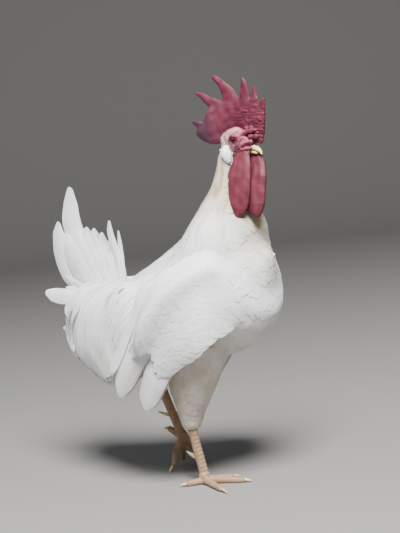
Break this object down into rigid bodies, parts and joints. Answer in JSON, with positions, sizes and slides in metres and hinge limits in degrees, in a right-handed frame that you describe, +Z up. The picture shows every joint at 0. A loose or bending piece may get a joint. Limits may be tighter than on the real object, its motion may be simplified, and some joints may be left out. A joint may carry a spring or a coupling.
{
  "type": "rooster",
  "caption": "White cock walking with one foot lifted behind, with a large single comb, long wattles and an upright tail; a still museum model.",
  "frame": {"origin": "on the floor, under the middle of the bird's bounding box", "axes": "+X where the bird faces, +Y to the bird's left, +Z up"},
  "size_m": [0.377, 0.216, 0.5083],
  "materials": {
    "plumage": "soft white feathers, slightly cream at the throat",
    "comb": "rough, fleshy crimson skin, dusky towards the rear",
    "wattle": "soft crimson skin with fine papillae",
    "bare_face": "bare pink and red skin in fine folds",
    "ear_lobe": "white enamel-like skin with faint blue wrinkles",
    "eye": "wet, glossy, orange-red iris with a dark pupil",
    "horn": "pale yellow horn, satin",
    "claw": "pale horn, satin",
    "scaled_skin": "pale yellow scaled skin, dusty"
  },
  "bodies": {
    "root": {"beak_lower": "horn", "beak_upper": "horn", "claw_hind_left": "claw", "claw_hind_right": "claw", "claw_inner_left": "claw", "claw_inner_right": "claw", "claw_middle_left": "claw", "claw_middle_right": "claw", "claw_outer_left": "claw", "claw_outer_right": "claw", "comb": "comb", "covert_front": "plumage", "covert_rear_left": "plumage", "covert_rear_right": "plumage", "covert_side": "plumage", "covert_upright": "plumage", "ear_lobe_left": "ear_lobe", "ear_lobe_right": "ear_lobe", "eye_left": "eye", "eye_right": "eye", "foot_left": "scaled_skin", "foot_right": "scaled_skin", "head": "bare_face", "neck": "plumage", "primaries_left": "plumage", "primaries_right": "plumage", "saddle_left": "plumage", "saddle_right": "plumage", "secondaries_left": "plumage", "secondaries_right": "plumage", "shank_left": "scaled_skin", "shank_right": "scaled_skin", "sickle_left": "plumage", "sickle_right": "plumage", "spur_left": "claw", "spur_right": "claw", "tail_fan": "plumage", "thigh_left": "plumage", "thigh_right": "plumage", "trunk": "plumage", "wattle_left": "wattle", "wattle_right": "wattle", "wing_left": "plumage", "wing_right": "plumage"}
  },
  "joints": []
}
